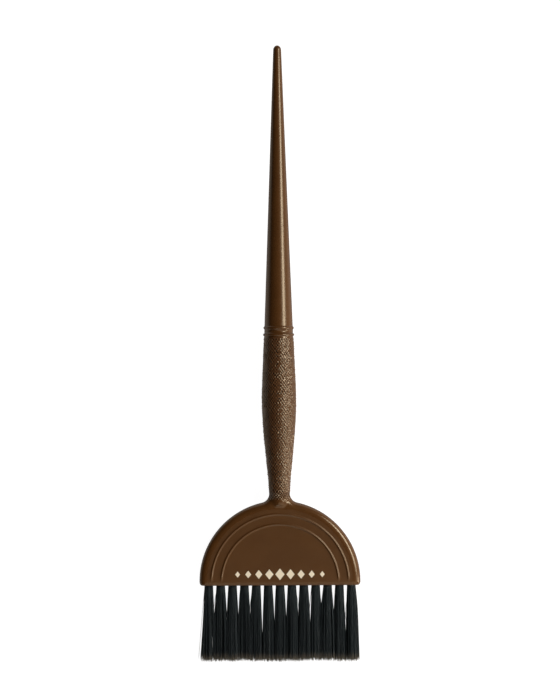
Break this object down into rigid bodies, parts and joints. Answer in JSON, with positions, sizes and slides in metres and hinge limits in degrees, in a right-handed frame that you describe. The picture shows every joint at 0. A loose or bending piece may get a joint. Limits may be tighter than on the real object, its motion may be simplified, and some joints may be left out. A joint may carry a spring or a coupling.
{
  "type": "tint brush",
  "caption": "Wide hair tint brush: half-round head with one row of dark nylon tufts, a textured round grip and a long tapered sectioning tail.",
  "frame": {"origin": "middle of the underside of the whole brush's bounding box, with the brush lying on its back; the handle's axis is 6.46 mm above it, and the centre of the head's circle is at Y = -86.25 mm", "axes": "+Y along the handle from the bristle tips to the tip of the tail, +X across the head, +Z out of the head's front face"},
  "size_m": [0.061, 0.2338, 0.0129],
  "materials": {
    "handle_plastic": "satin-gloss moulded brown polypropylene, pebble-textured on the grip",
    "bristle_nylon": "near-black nylon filaments with a cool tint, cut square at the tips",
    "anchor_wire": "flat drawn wire, cut ends"
  },
  "bodies": {
    "root": {"handle": "handle_plastic", "tuft_01": "bristle_nylon", "tuft_02": "bristle_nylon", "tuft_03": "bristle_nylon", "tuft_04": "bristle_nylon", "tuft_05": "bristle_nylon", "tuft_06": "bristle_nylon", "tuft_07": "bristle_nylon", "tuft_08": "bristle_nylon", "tuft_09": "bristle_nylon", "tuft_10": "bristle_nylon", "tuft_11": "bristle_nylon", "tuft_12": "bristle_nylon", "tuft_13": "bristle_nylon", "anchor_01": "anchor_wire", "anchor_02": "anchor_wire", "anchor_03": "anchor_wire", "anchor_04": "anchor_wire", "anchor_05": "anchor_wire", "anchor_06": "anchor_wire", "anchor_07": "anchor_wire", "anchor_08": "anchor_wire", "anchor_09": "anchor_wire", "anchor_10": "anchor_wire", "anchor_11": "anchor_wire", "anchor_12": "anchor_wire", "anchor_13": "anchor_wire"}
  },
  "joints": []
}
